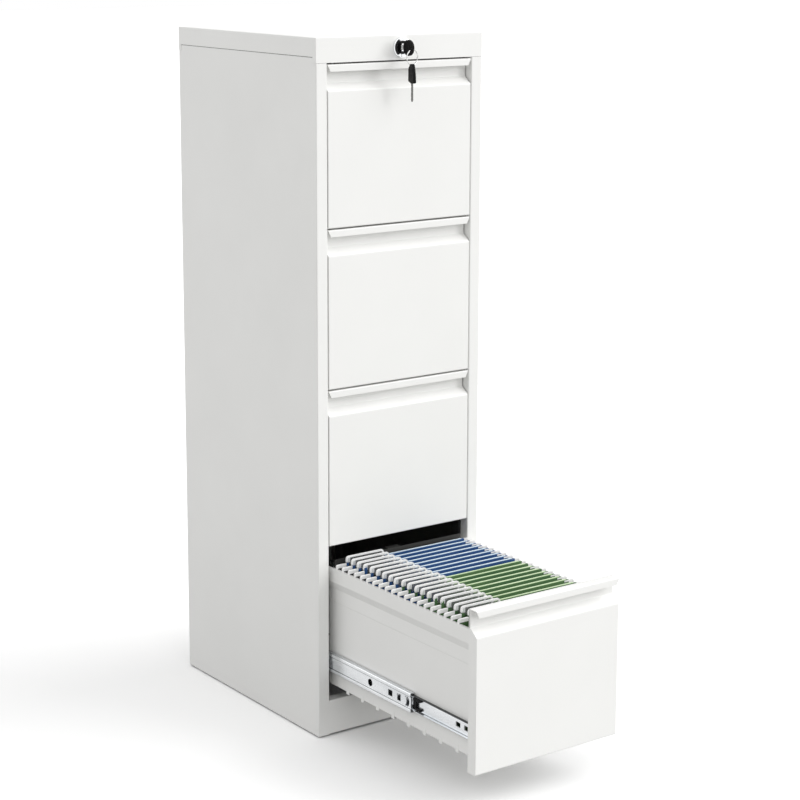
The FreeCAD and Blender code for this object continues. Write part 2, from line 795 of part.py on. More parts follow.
def drawer_back(base):
    """Rear plate of a drawer, with the hooked catch welded to it that the lock bar holds."""
    edge = TRAY_SIDE - SHEET - SEAM
    plate = box((-edge, edge), (TRAY_END, TRAY_END + SHEET), (TRAY_LIFT, TRAY_LIFT + BACK_HEIGHT))
    fold = box(
        (edge - SHEET, edge),
        (TRAY_END - BACK_FLANGE, TRAY_END),
        (TRAY_LIFT + 2 * BEND, TRAY_LIFT + BACK_HEIGHT / 2),
    )
    high = TRAY_LIFT + BACK_HEIGHT
    hook = [
        (TRAY_END + SHEET, high - SHEET),
        (CATCH_END - SHEET, high - SHEET),
        (CATCH_END - SHEET, high - CATCH_LIP),
    ]
    centre = bar_centre()
    half = CATCH_WIDTH / 2
    catch = sheet(hook, along_x, centre - half, centre + half)
    back = group([join([plate, fold, mirrored(fold)]), catch])
    back.translate(Vector(0, 0, base))
    return back


def bar_centre():
    """Place of the lock bar across the cabinet, under the middle of the crank pin's path."""
    inner = CRANK_RADIUS * math.cos(math.radians(LOCK_TURN / 2))
    return -(CRANK_RADIUS + inner) / 2


def lock_housing():
    """Bezel and barrel of the lock, bored for the plug."""
    centre = Vector(0, 0, LOCK_HEIGHT)
    back = Vector(0, 1, 0)
    bezel = rod(LOCK_BEZEL, centre - back * LOCK_BEZEL_DEPTH, centre)
    rim = [e for e in bezel.Edges if e.Closed and e.Vertexes[0].Y < -LOCK_BEZEL_DEPTH + SEAM]
    bezel = bezel.makeFillet(LOCK_BEZEL_ROUND, rim)
    barrel = rod(LOCK_BARREL, centre - back, centre + back * LOCK_BARREL_LENGTH)
    outside = centre - back * 2 * LOCK_BEZEL_DEPTH
    recess = rod(LOCK_FACE, outside, centre - back * (LOCK_BEZEL_DEPTH - LOCK_FACE_RECESS))
    bore = rod(PLUG + 2 * PLUG_PLAY, outside, centre + back * 2 * LOCK_BARREL_LENGTH)
    return join([bezel, barrel]).cut([recess, bore])


def lock_face():
    """Dark ring set into the bezel round the plug."""
    centre = Vector(0, 0, LOCK_HEIGHT)
    front = centre - Vector(0, LOCK_BEZEL_DEPTH - SEAM, 0)
    rear = centre - Vector(0, LOCK_BEZEL_DEPTH - LOCK_FACE_RECESS, 0)
    disc = rod(LOCK_FACE - 2 * LOCK_FACE_PLAY, front, rear)
    past = Vector(0, LOCK_BEZEL_DEPTH, 0)
    return disc.cut(rod(PLUG + 4 * PLUG_PLAY, front - past, rear + past))


def lock_nut():
    """Six-sided nut that clamps the barrel behind the fascia."""
    outline = []
    for i in range(6):
        angle = math.radians(60 * i)
        outline.append((LOCK_NUT / 2 * math.cos(angle), LOCK_NUT / 2 * math.sin(angle)))
    nut = along_y(rounded_face(outline, [SEAM] * 6), SHEET, SHEET + LOCK_NUT_HEIGHT)
    nut.translate(Vector(0, 0, LOCK_HEIGHT))
    centre = Vector(0, 0, LOCK_HEIGHT)
    return nut.cut(rod(LOCK_BARREL + 2 * PLUG_PLAY, centre, centre + Vector(0, LOCK_BARREL_LENGTH, 0)))


def lock_plug():
    """Turning core of the lock with its keyway."""
    front = -LOCK_BEZEL_DEPTH + SEAM / 2
    rear = LOCK_BARREL_LENGTH + PLUG_TAIL
    core = rod(PLUG, Vector(0, front, LOCK_HEIGHT), Vector(0, rear, LOCK_HEIGHT))
    half = KEY_THICKNESS / 2 + KEYWAY_PLAY
    tall = KEY_HEIGHT / 2 + KEYWAY_PLAY
    slot = box((-half, half), (2 * front, KEYWAY_DEPTH), (LOCK_HEIGHT - tall, LOCK_HEIGHT + tall))
    return core.cut(slot)


def lock_spindle():
    """Round bar that carries the plug's turn to the back of the case."""
    start = Vector(0, LOCK_BARREL_LENGTH + PLUG_TAIL, LOCK_HEIGHT)
    return rod(SPINDLE, start, Vector(0, SPINDLE_END, LOCK_HEIGHT))


def spindle_bracket():
    """Hanger under the cap that steadies the spindle."""
    half = BRACKET_WIDTH / 2
    under = HEIGHT - SHEET
    front = BRACKET_PLACE - BRACKET_FLANGE
    flange = box((-half, half), (front, BRACKET_PLACE), (under - BRACKET_THICKNESS, under))
    plate = box(
        (-half, half),
        (BRACKET_PLACE - BRACKET_THICKNESS, BRACKET_PLACE),
        (LOCK_HEIGHT - BRACKET_DROP, under),
    )
    start = Vector(0, front, LOCK_HEIGHT)
    hole = rod(SPINDLE + 2 * SPINDLE_PLAY, start, start + Vector(0, 2 * BRACKET_FLANGE, 0))
    return join([flange, plate]).cut(hole)


def crank_pin_place():
    """The crank pin's place while the lock is open: low and to the left of the spindle."""
    angle = math.radians(180 + LOCK_TURN / 2)
    return Vector(CRANK_RADIUS * math.cos(angle), SPINDLE_END, LOCK_HEIGHT + CRANK_RADIUS * math.sin(angle))


def lock_crank():
    """Crank on the spindle's end, whose pin lifts the lock bar."""
    hub = Vector(0, SPINDLE_END, LOCK_HEIGHT)
    deep = Vector(0, CRANK_THICKNESS, 0)
    pin = crank_pin_place()
    arm = rod(CRANK_HUB, hub, hub + deep)
    boss = rod(CRANK_BOSS, pin, pin + deep)
    reach = BAR_FACE + 2 * BAR_THICKNESS - SPINDLE_END
    return join([arm, boss, rod(CRANK_PIN, pin, pin + Vector(0, reach, 0))])


def finger_height(base):
    """Top of a lock finger while the lock is open, clear below its drawer's catch."""
    return base + TRAY_LIFT + BACK_HEIGHT - SHEET - FINGER_PLAY - BAR_LIFT


def lock_bar():
    """Upright bar at the back with one hooked finger welded to it for each drawer."""
    centre = bar_centre()
    half = BAR_WIDTH / 2
    top = HEIGHT - SHEET - BAR_LIFT - SEAM
    low = front_base(DRAWERS) + BAR_BOTTOM
    bar = box((centre - half, centre + half), (BAR_FACE, BAR_FACE + BAR_THICKNESS), (low, top))
    pin = crank_pin_place()
    tall = CRANK_PIN / 2 + PIN_PLAY
    path = (CRANK_RADIUS - CRANK_RADIUS * math.cos(math.radians(LOCK_TURN / 2))) / 2 + tall
    through = (BAR_FACE - BAR_THICKNESS, BAR_FACE + 2 * BAR_THICKNESS)
    slot = box((centre - path, centre + path), through, (pin.z - tall, pin.z + tall))
    pieces = [bar.cut(slot)]
    across = (centre - FINGER_WIDTH / 2, centre + FINGER_WIDTH / 2)
    tip = BAR_FACE - FINGER_REACH
    for number in range(1, DRAWERS + 1):
        high = finger_height(front_base(number))
        low = high - CATCH_LIP - BAR_THICKNESS
        shelf = box(across, (tip, BAR_FACE), (low, low + BAR_THICKNESS))
        hook = box(across, (tip, tip + BAR_THICKNESS), (low, high))
        pieces.append(join([shelf, hook]))
    return group(pieces)


def lock_bar_guides():
    """Plastic guides on the back panel, open in front, that hold the bar upright."""
    centre = bar_centre()
    inner = BAR_WIDTH / 2 + GUIDE_PLAY
    outer = inner + GUIDE_WALL
    rear = BACK_FACE - SHEET
    guides = []
    for i in range(GUIDES):
        low = front_base(DRAWERS) + DRAWER_PITCH * (i + 0.5)
        past = (low - GUIDE_HEIGHT, low + 2 * GUIDE_HEIGHT)
        deep = (BAR_FACE - GUIDE_WALL / 2, rear)
        block = box((centre - outer, centre + outer), deep, (low, low + GUIDE_HEIGHT))
        slot = box(
            (centre - inner, centre + inner),
            (BAR_FACE - GUIDE_PLAY, BAR_FACE + BAR_THICKNESS + GUIDE_PLAY),
            past,
        )
        mouth = box(
            (centre - inner + GUIDE_WALL / 2, centre + inner - GUIDE_WALL / 2),
            (BAR_FACE - GUIDE_WALL, BAR_FACE),
            past,
        )
        guides.append(block.cut([slot, mouth]))
    return group(guides)


def key_blade():
    """Steel blade of the key, its cuts hidden in the plug."""
    front = -LOCK_BEZEL_DEPTH - BOW_GAP - BOW / 2
    thick = KEY_THICKNESS / 2
    low = LOCK_HEIGHT - KEY_HEIGHT / 2
    blade = box((-thick, thick), (front, KEY_DEPTH), (low, low + KEY_HEIGHT))
    notches = []
    pitch = KEY_DEPTH / KEY_CUTS
    for i in range(KEY_CUTS):
        start = i * pitch + KEY_CUT
        notch = [(start, low), (start + KEY_CUT, low), (start + KEY_CUT / 2, low + KEY_CUT)]
        notches.append(along_x(rounded_face(notch, [0, 0, 0]), -KEY_HEIGHT, KEY_HEIGHT))
    return blade.cut(notches)


def key_bow():
    """Round plastic head of the key, bored for a ring."""
    rear = -LOCK_BEZEL_DEPTH - BOW_GAP
    centre = Vector(-BOW_THICKNESS / 2, rear - BOW / 2, LOCK_HEIGHT)
    across = Vector(BOW_THICKNESS, 0, 0)
    disc = rod(BOW, centre, centre + across)
    disc = disc.makeFillet(BOW_ROUND, [edge for edge in disc.Edges if edge.Closed])
    eye = Vector(-BOW, rear - BOW + BOW_HOLE_INSET, LOCK_HEIGHT)
    disc = disc.cut(rod(BOW_HOLE, eye, eye + Vector(2 * BOW, 0, 0)))
    return disc.cut(key_blade())


def folder_depth(i):
    """Place of a folder in the open drawer, counted from the drawer's back."""
    return TRAY_END - FOLDER_REAR_GAP - i * FOLDER_PITCH - TRAVEL


def folder_board(i):
    """One hanging folder as its closed board."""
    half = FOLDER_WIDTH / 2
    base = front_base(OPEN_DRAWER)
    low = base + FOLDER_BASE
    high = base + FOLDER_CREST
    outline = [(-half, low), (half, low), (half, high), (-half, high)]
    face = rounded_face(outline, [FOLDER_ROUND, FOLDER_ROUND, 0, 0])
    y = folder_depth(i)
    thin = FOLDER_THICKNESS / 2
    return along_y(face, y - thin, y + thin)


def folder_rod(i):
    """The flat bar on a folder's top edge, with a hook over each rail."""
    base = front_base(OPEN_DRAWER)
    low = base + TRAY_TOP + ROD_LIFT
    front = folder_depth(i) - FOLDER_THICKNESS / 2
    y = (front - ROD_THICKNESS, front)
    bar = box((-HOOK_END, HOOK_END), y, (low, low + ROD_HEIGHT))
    drop = base + TRAY_TOP - HOOK_DROP
    tip = box((HOOK_END - HOOK_WIDTH, HOOK_END), y, (drop, low + ROD_HEIGHT))
    seat = box((RAIL_FACE - HOOK_WIDTH, HOOK_END), y, (base + TRAY_TOP - SEAM, low + ROD_HEIGHT))
    return join([bar, tip, mirrored(tip), seat, mirrored(seat)])


def folder_tag(i):
    """The index tab that stands on a folder's left end."""
    base = front_base(OPEN_DRAWER)
    left = -FOLDER_WIDTH / 2 + TAG_INSET
    low = base + FOLDER_CREST
    right = left + TAG_WIDTH
    high = low + TAG_HEIGHT
    outline = [(left, low), (right, low), (right, high), (left, high)]
    face = rounded_face(outline, [0, 0, TAG_ROUND, TAG_ROUND])
    y = folder_depth(i)
    return along_y(face, y - TAG_THICKNESS / 2, y + TAG_THICKNESS / 2)


def drawer_pieces(number):
    """The pieces of one drawer and of its two slides."""
    base = front_base(number)
    slide = base + SLIDE_LIFT
    pull = TRAVEL if number == OPEN_DRAWER else 0
    moving = {
        "drawer_front": (drawer_front(base), pull),
        "drawer_liner": (drawer_liner(base), pull),
        "drawer_tray": (drawer_tray(base), pull),
        "drawer_back": (drawer_back(base), pull),
        "slide_inner": (both_sides(inner_member(slide)), pull),
        "release_levers": (both_sides(release_lever(slide)), pull),
        "slide_mid": (both_sides(mid_member(slide)), pull * MID_SHARE),
        "ball_cage": (ball_cage(slide), pull * MID_SHARE / 2),
    }
    pieces = {}
    for name, (shape, shift) in moving.items():
        pieces[name + "_" + str(number)] = shape.translated(Vector(0, -shift, 0))
    return pieces


def case_pieces():
    """The fixed pieces of the case and of its slides."""
    heights = [front_base(number) + SLIDE_LIFT for number in range(1, DRAWERS + 1)]
    outers = [outer_member(height) for height in heights]
    buffers = [slide_buffer(height) for height in heights]
    right = side_panel()
    return {
        "left_side_panel": mirrored(right),
        "right_side_panel": right,
        "back_panel": back_panel(),
        "top_cap": top_cap(),
        "plinth_rail": plinth_rail(),
        "rear_base_rail": rear_base_rail(),
        "foot_glides": foot_glides(),
        "slide_uprights": slide_uprights(),
        "slide_outers_left": group(outers),
        "slide_outers_right": group([mirrored(outer) for outer in outers]),
        "slide_buffers": group(buffers + [mirrored(buffer) for buffer in buffers]),
        "case_rivets": case_rivets(),
    }


def lock_pieces():
    """The lock, the parts that it drives and the key in it."""
    return {
        "lock_housing": lock_housing(),
        "lock_face": lock_face(),
        "lock_nut": lock_nut(),
        "lock_plug": lock_plug(),
        "lock_spindle": lock_spindle(),
        "spindle_bracket": spindle_bracket(),
        "lock_crank": lock_crank(),
        "lock_bar": lock_bar(),
        "lock_bar_guides": lock_bar_guides(),
        "key_blade": key_blade(),
        "key_bow": key_bow(),
    }


def folder_pieces():
    """The hanging folders that fill the open drawer."""
    boards = [folder_board(i) for i in range(FOLDERS)]
    return {
        "blue_folders": group(boards[:BLUE_FOLDERS]),
        "green_folders": group(boards[BLUE_FOLDERS:]),
        "folder_rods": group([folder_rod(i) for i in range(FOLDERS)]),
        "folder_tags": group([folder_tag(i) for i in range(FOLDERS)]),
    }


def main():
    pieces = {}
    pieces.update(case_pieces())
    pieces.update(lock_pieces())
    pieces.update(folder_pieces())
    for number in range(1, DRAWERS + 1):
        pieces.update(drawer_pieces(number))
    os.makedirs("parts", exist_ok=True)
    for name, shape in pieces.items():
        placed = shape.translated(Vector(0, -ORIGIN_DEPTH, 0))
        placed.exportStep("parts/" + name + ".step")
    print(len(pieces), "pieces")


main()
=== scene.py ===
import json
import math

import bmesh
import bpy
from mathutils import Matrix, Vector


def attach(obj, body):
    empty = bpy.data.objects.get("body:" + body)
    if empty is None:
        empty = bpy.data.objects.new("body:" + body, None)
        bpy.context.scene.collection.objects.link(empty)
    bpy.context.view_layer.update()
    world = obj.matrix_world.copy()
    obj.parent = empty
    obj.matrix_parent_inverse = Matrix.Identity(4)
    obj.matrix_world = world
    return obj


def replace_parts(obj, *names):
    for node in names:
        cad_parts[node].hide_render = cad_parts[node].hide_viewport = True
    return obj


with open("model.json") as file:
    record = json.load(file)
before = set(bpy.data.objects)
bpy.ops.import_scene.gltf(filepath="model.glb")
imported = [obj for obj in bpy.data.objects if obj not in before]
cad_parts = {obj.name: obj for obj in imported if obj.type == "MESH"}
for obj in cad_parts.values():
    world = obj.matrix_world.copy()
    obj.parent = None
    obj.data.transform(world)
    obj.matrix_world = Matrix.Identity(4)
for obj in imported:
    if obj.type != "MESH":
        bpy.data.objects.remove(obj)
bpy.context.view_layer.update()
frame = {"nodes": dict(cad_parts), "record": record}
nodes = frame["nodes"]

MM = 0.001

# Sizes and places in millimetres, as in the CAD parts
DRAWERS = 4
DRAWER_PITCH = 302.25
SLIDE_CENTRE = 147.0
LOCK_HEIGHT = 1307.0
SKIRT_BOTTOM = 1295.0
TRAY_TOP = 335.0
HOOK_END = 156.4
FOLDERS = 20
BLUE_FOLDERS = 9
GREEN_FOLDERS = FOLDERS - BLUE_FOLDERS
FOLDER_PITCH = 19.81
FIRST_FOLDER = -34.1
# Sizes of the folders as drawn here, within 2 mm of the CAD's plain boards and bars
FOLDER_HALF = 145.0
FOLDER_BASE = 108.5
ROD_TOP = TRAY_TOP + 9.5
ARM_TOP = TRAY_TOP + 8.5


def linear(code):
    """An sRGB hex colour as linear values."""
    parts = [int(code[i:i + 2], 16) / 255 for i in (0, 2, 4)]
    return [p / 12.92 if p <= 0.04045 else ((p + 0.055) / 1.055) ** 2.4 for p in parts] + [1.0]


def add(tree, kind, inputs=None, **settings):
    """Adds one node, sets it up, and fills or links its inputs."""
    node = tree.nodes.new(kind)
    for key, value in settings.items():
        setattr(node, key, value)
    for key, value in (inputs or {}).items():
        socket = node.inputs[key]
        if isinstance(value, bpy.types.NodeSocket):
            tree.links.new(value, socket)
        else:
            socket.default_value = value
    return node


def new_material(name):
    """An empty material and its tree."""
    material = bpy.data.materials.new(name)
    material.use_nodes = True
    material.node_tree.nodes.clear()
    return material, material.node_tree


# Sockets of a colour mix: its factor, its two colours and its result
FACTOR, FIRST, SECOND, MIXED = 0, 6, 7, 2
# Noise keeps near its middle; this much of its range is spread over the whole of a pattern
NOISE_LOW, NOISE_HIGH = 0.3, 0.7
EVEN = (1, 1, 1)
# A grain's height as a share of its size, and how far its flecks go to the light colour
RELIEF = 0.2
FLECK_SHARE = 0.5


def grain(tree, size, stretch=EVEN, detail=3.0):
    """Noise in Object coordinates whose grain has a size in millimetres."""
    where = add(tree, "ShaderNodeTexCoord").outputs["Object"]
    scaled = add(tree, "ShaderNodeMapping", {"Vector": where, "Scale": stretch}).outputs["Vector"]
    inputs = {"Vector": scaled, "Scale": 1 / MM / size, "Detail": detail}
    return add(tree, "ShaderNodeTexNoise", inputs).outputs["Fac"]


def shaded(tree, pattern, first, second, most=1.0):
    """A colour that goes with a pattern from a first shade towards a second one, at most so far."""
    span = {"Value": pattern, "From Min": NOISE_LOW, "From Max": NOISE_HIGH, "To Min": 0.0, "To Max": most}
    share = add(tree, "ShaderNodeMapRange", span).outputs["Result"]
    mix = {FACTOR: share, FIRST: first, SECOND: second}
    return add(tree, "ShaderNodeMix", mix, data_type="RGBA").outputs[MIXED]


def lined(tree, tint, height, place, half, shade):
    """A colour with a level line of another shade; its place and half its height in millimetres."""
    inputs = {0: height, 1: place * MM, 2: half * MM}
    line = add(tree, "ShaderNodeMath", inputs, operation="COMPARE").outputs[0]
    mix = {FACTOR: line, FIRST: tint, SECOND: linear(shade)}
    return add(tree, "ShaderNodeMix", mix, data_type="RGBA").outputs[MIXED]


def coated(tree, tint, fine, rough, bump, depth, **shader):
    """Ends a material whose gloss and height follow a fine grain; the grain's depth is in metres."""
    span = {
        "Value": fine, "From Min": NOISE_LOW, "From Max": NOISE_HIGH,
        "To Min": rough[0], "To Max": rough[1],
    }
    inputs = {"Base Color": tint, "Roughness": add(tree, "ShaderNodeMapRange", span).outputs["Result"]}
    if bump:
        height = {"Height": fine, "Strength": bump, "Distance": depth}
        inputs["Normal"] = add(tree, "ShaderNodeBump", height).outputs["Normal"]
    inputs.update({key.replace("_", " "): value for key, value in shader.items()})
    skin = add(tree, "ShaderNodeBsdfPrincipled", inputs).outputs["BSDF"]
    add(tree, "ShaderNodeOutputMaterial", {"Surface": skin})


def finish(name, dark, light, rough, fleck, bump=0.0, stretch=EVEN, cloud=120.0, **shader):
    """A surface whose colour, gloss and height follow one grain, over a slow cloudiness."""
    material, tree = new_material(name)
    fine = grain(tree, fleck, stretch)
    slow = grain(tree, cloud, stretch, detail=2.0)
    tint = shaded(tree, slow, linear(dark), linear(light))
    tint = shaded(tree, fine, tint, linear(light), FLECK_SHARE)
    coated(tree, tint, fine, rough, bump, fleck * MM * RELIEF, **shader)
    return material


COAT_DARK, COAT_LIGHT = "F0F0EE", "F3F3F1"
COAT_GLOSS = (0.38, 0.44)
COAT_PEEL = 1.2
COAT_BUMP = 0.05
COAT_CLOUD = 160.0
# Dark grey painted shade for faces that look into the case and trays, and for the underside of the rail
INNER_SHADE_DARK, INNER_SHADE_LIGHT = "4A4A48", "545452"
# A face looks inwards, or down, when this much of its normal does
INWARDS = -0.5
SEAM_HALF = 0.6
SEAM_SHADE = "5C5C5A"


def inner_shade_coat(name, walls, least=0.0, seam=None):
    """The white coat outside; faces that look inwards get a dark grey painted shade for the dark inside.

    walls: "X" puts the painted shade on both side walls beyond `least` metres from the middle, "Z" on a rail's
    underside.
    seam: height in mm of the joint under the cap's skirt. Its shadow is narrower than a pixel, so it is
    drawn coarser, 1.2 mm high.
    """
    material, tree = new_material(name)
    where = add(tree, "ShaderNodeTexCoord").outputs["Object"]
    places = add(tree, "ShaderNodeSeparateXYZ", {"Vector": where}).outputs
    normal = add(tree, "ShaderNodeNewGeometry").outputs["Normal"]
    facing = add(tree, "ShaderNodeSeparateXYZ", {"Vector": normal}).outputs[walls]
    if walls == "X":
        side = add(tree, "ShaderNodeMath", {0: places["X"]}, operation="SIGN").outputs[0]
        facing = add(tree, "ShaderNodeMath", {0: facing, 1: side}, operation="MULTIPLY").outputs[0]
    inside = add(tree, "ShaderNodeMath", {0: facing, 1: INWARDS}, operation="LESS_THAN").outputs[0]
    if least:
        away = add(tree, "ShaderNodeMath", {0: places["X"]}, operation="ABSOLUTE").outputs[0]
        away = add(tree, "ShaderNodeMath", {0: away, 1: least}, operation="GREATER_THAN").outputs[0]
        inside = add(tree, "ShaderNodeMath", {0: inside, 1: away}, operation="MULTIPLY").outputs[0]
    fine = grain(tree, COAT_PEEL)
    slow = grain(tree, COAT_CLOUD)
    white = shaded(tree, slow, linear(COAT_DARK), linear(COAT_LIGHT))
    if seam:
        white = lined(tree, white, places["Z"], seam - SEAM_HALF, SEAM_HALF, SEAM_SHADE)
    # Painted shade: faces that look inwards are coloured dark grey to stand for the dark inside
    grey = shaded(tree, slow, linear(INNER_SHADE_DARK), linear(INNER_SHADE_LIGHT))
    mix = {FACTOR: inside, FIRST: white, SECOND: grey}
    tint = add(tree, "ShaderNodeMix", mix, data_type="RGBA").outputs[MIXED]
    coated(tree, tint, fine, COAT_GLOSS, COAT_BUMP, COAT_PEEL * MM * RELIEF)
    return material


def from_slide(tree):
    """The height in metres above or below the middle of the nearest drawer's slide."""
    where = add(tree, "ShaderNodeTexCoord").outputs["Object"]
    height = add(tree, "ShaderNodeSeparateXYZ", {"Vector": where}).outputs["Z"]
    start = (SLIDE_CENTRE - DRAWER_PITCH / 2) * MM
    steps = ((start, "SUBTRACT"), (DRAWER_PITCH * MM, "MODULO"), (DRAWER_PITCH / 2 * MM, "SUBTRACT"))
    for number, way in steps:
        height = add(tree, "ShaderNodeMath", {0: height, 1: number}, operation=way).outputs[0]
    return height


STREAK = 0.8
STREAK_STRETCH = (1, 0.02, 1)
STREAK_DEPTH = 0.1
STREAK_BUMP = 0.03
ZINC_GLOSS = (0.22, 0.3)
ZINC_CLOUD = 40.0
ZINC_STRETCH = (1, 0.2, 1)


def zinc_plate(name, fold_shades=()):
    """Cold-rolled steel, bright zinc plated: cool and bright, with drawn streaks along the slide.

    fold_shades: painted shade lines in the folds of the section, each with its height in millimetres
    from the slide's middle, half its own height and its shade.
    """
    material, tree = new_material(name)
    streak = grain(tree, STREAK, STREAK_STRETCH, detail=2.0)
    slow = grain(tree, ZINC_CLOUD, ZINC_STRETCH, detail=2.0)
    tint = shaded(tree, slow, linear("CDD0D3"), linear("E6E8EA"))
    if fold_shades:
        height = from_slide(tree)
    for place, half, shade in fold_shades:
        tint = lined(tree, tint, height, place, half, shade)
    coated(tree, tint, streak, ZINC_GLOSS, STREAK_BUMP, STREAK_DEPTH * MM, Metallic=1.0)
    return material


SHEET_CLOUD = 20.0


def clear_sheet(name, dark, light, alpha):
    """Thin PVC sheet, extruded: see-through, with a body colour and a gloss."""
    material, tree = new_material(name)
    tint = shaded(tree, grain(tree, SHEET_CLOUD), linear(dark), linear(light))
    inputs = {"Base Color": tint, "Roughness": 0.12, "IOR": 1.45, "Alpha": alpha}
    sheet = add(tree, "ShaderNodeBsdfPrincipled", inputs).outputs["BSDF"]
    add(tree, "ShaderNodeOutputMaterial", {"Surface": sheet})
    return material


def seen_rays(tree):
    """One for rays that the eye follows: straight, mirrored, or through a clear sheet."""
    path = add(tree, "ShaderNodeLightPath").outputs
    seen = path["Is Camera Ray"]
    for way in ("Is Glossy Ray", "Is Transmission Ray"):
        seen = add(tree, "ShaderNodeMath", {0: seen, 1: path[way]}, operation="MAXIMUM").outputs[0]
    return seen


def studio_floor():
    """Seamless white paper, pressed smooth: white to the eye, with the object's soft shadow."""
    material, tree = new_material("seamless_paper")
    # The object gets the light of a greyer paper than the eye sees, which is overexposed to white
    plain = add(tree, "ShaderNodeBsdfDiffuse", {"Color": linear("AEAEAD")}).outputs[0]
    paper = add(tree, "ShaderNodeBsdfDiffuse", {"Color": linear("FFFFFF")}).outputs[0]
    lift = add(tree, "ShaderNodeBsdfDiffuse", {"Color": linear("5A5A5A")}).outputs[0]
    shown = add(tree, "ShaderNodeAddShader", {0: paper, 1: lift}).outputs[0]
    mixed = add(tree, "ShaderNodeMixShader", {0: seen_rays(tree), 1: plain, 2: shown}).outputs[0]
    add(tree, "ShaderNodeOutputMaterial", {"Surface": mixed})
    return material


# How far from the middle, in metres, a side panel's inner faces count as the case's inside and take its
# painted shade
PANEL_INSIDE = 0.167
ALONG = (1, 0.1, 1)
CARD_STRETCH = (0.3, 1, 1)
CARD_CLOUD = 40.0

# Each finish: its dark and its light shade, roughness, size of the grain in millimetres, strength of the grain

# Polyester powder coat, sprayed and baked: a soft sheen over a fine orange peel
coat = finish("powder_coat_white", COAT_DARK, COAT_LIGHT, COAT_GLOSS, COAT_PEEL, COAT_BUMP, cloud=COAT_CLOUD)
# The same coat, with a dark grey painted shade inside the case and trays and under the plinth rail
side_coat = inner_shade_coat("powder_coat_inner_shade_case", "X", PANEL_INSIDE, SKIRT_BOTTOM)
tray_coat = inner_shade_coat("powder_coat_inner_shade_tray", "X")
base_coat = inner_shade_coat("powder_coat_inner_shade_base", "Z")
# Dark grey painted shade on the plate behind the folders, standing for the shadow it sits in
back_plate_shade = finish("grey_back_plate_shade", "292927", "323230", (0.5, 0.6), 1.5, 0.05)
# Rolled steel uprights coloured dark grey: a painted shade for the case's dark inside
upright_shade = finish("rolled_steel_upright_shade", "242526", "303132", (0.5, 0.6), 1.0, 0.05)
# Rolled steel, zinc plated: bright slides; the thin dark lines in their folds are painted shade
zinc = zinc_plate("zinc_plated_rolled_steel")
# Painted shade lines: height from the slide's middle and half height in millimetres, and the shade
mid_zinc = zinc_plate("zinc_plated_middle_member", (
    (11.4, 0.7, "3A3C3E"), (-11.4, 0.6, "66696B"), (-18.4, 0.4, "6A6C6E"),
))
inner_zinc = zinc_plate("zinc_plated_inner_member", (
    (14.2, 0.7, "3A3C3E"), (-13.0, 0.4, "6C6E70"), (-14.9, 0.4, "2A2C2E"),
))
# Polished die-cast under chrome plate: a bright rim with crisp reflections
chrome = finish("chrome_plated_die_cast", "DADCDD", "F0F1F2", (0.05, 0.1), 0.8, Metallic=1.0)
# Stoved black enamel: a deep black disc with a soft highlight
enamel = finish("black_stove_enamel", "050506", "0B0B0C", (0.22, 0.3), 0.8, 0.05,
                Specular_IOR_Level=0.2)
# Stamped and nickel-plated steel: a pale key blade with fine scratches along it
nickel = finish("nickel_plated_key_steel", "A8A8A6", "C6C6C4", (0.2, 0.32), 0.6, 0.06, ALONG,
                Metallic=1.0)
# Spare key, stamped steel: darker and duller than the key in the lock
darker_steel = finish("darker_stamped_steel", "5E5E5C", "767674", (0.35, 0.45), 0.6, 0.06, ALONG,
                    Metallic=1.0)
# Drawn spring wire, nickel plated: a thin bright ring
wire = finish("nickel_plated_spring_wire", "B4B4B3", "E2E2E1", (0.1, 0.16), 0.5, Metallic=1.0)
# Moulded ABS with a spark-eroded grain: flat black key heads, levers and glides
black_abs = finish("black_abs_moulded", "040405", "09090A", (0.4, 0.5), 0.7, 0.1,
                   Specular_IOR_Level=0.1)
# Moulded rubber: the dull black stops of the slides
rubber = finish("black_rubber_moulded", "0C0C0C", "161615", (0.6, 0.75), 1.0, 0.25,
                Specular_IOR_Level=0.3)
# Moulded polypropylene: bright white bars, hooks and tab frames with a soft gloss
white_pp = finish("white_polypropylene_moulded", "F4F4F3", "FCFCFB", (0.25, 0.34), 1.2, 0.05)
# Pressed card, dyed through: the matt blue and green bodies of the folders
blue_card = finish("blue_dyed_card", "254B7F", "355A8E", (0.6, 0.7), 2.0, 0.2, CARD_STRETCH, CARD_CLOUD,
                   Specular_IOR_Level=0.2)
green_card = finish("green_dyed_card", "3F6745", "5E7F52", (0.6, 0.7), 2.0, 0.2, CARD_STRETCH, CARD_CLOUD,
                    Specular_IOR_Level=0.2)
# Folded hem of the same card, coloured pale: a painted highlight where light falls on the top of each folder
blue_hem_highlight = finish("blue_card_lit_hem", "C6DAEA", "DCEAF4", (0.4, 0.5), 1.5, 0.1)
green_hem_highlight = finish("green_card_lit_hem", "BCD6A4", "D4E8C0", (0.4, 0.5), 1.5, 0.1)
# Clear extruded PVC, tinted grey as a painted shade, so that between two tabs it reads as a thin grey line
shade_grey_pvc = clear_sheet("clear_pvc_window", "8E8F90", "9E9FA0", 0.25)
# Frosted PVC: the milky end of each tab with the folder's colour behind it
frosted_pvc = clear_sheet("frosted_pvc_tab_end", "EEF0F0", "F8FAFA", 0.72)

slot_finish = {
    "white_powder_coat": coat,
    "zinc_plated_steel": zinc,
    "chrome_plate": chrome,
    "black_enamel": enamel,
    "nickel_steel": nickel,
    "black_plastic": black_abs,
    "black_rubber": rubber,
    "blue_card": blue_card,
    "green_card": green_card,
    "white_plastic": white_pp,
    "clear_plastic": shade_grey_pvc,
}
slots = {entry["node"]: entry["material_slot"] for entry in frame["record"]["subparts"]}


def dress(name, material):
    """Gives a CAD node one finish."""
    mesh = nodes[name].data
    mesh.materials.clear()
    mesh.materials.append(material)


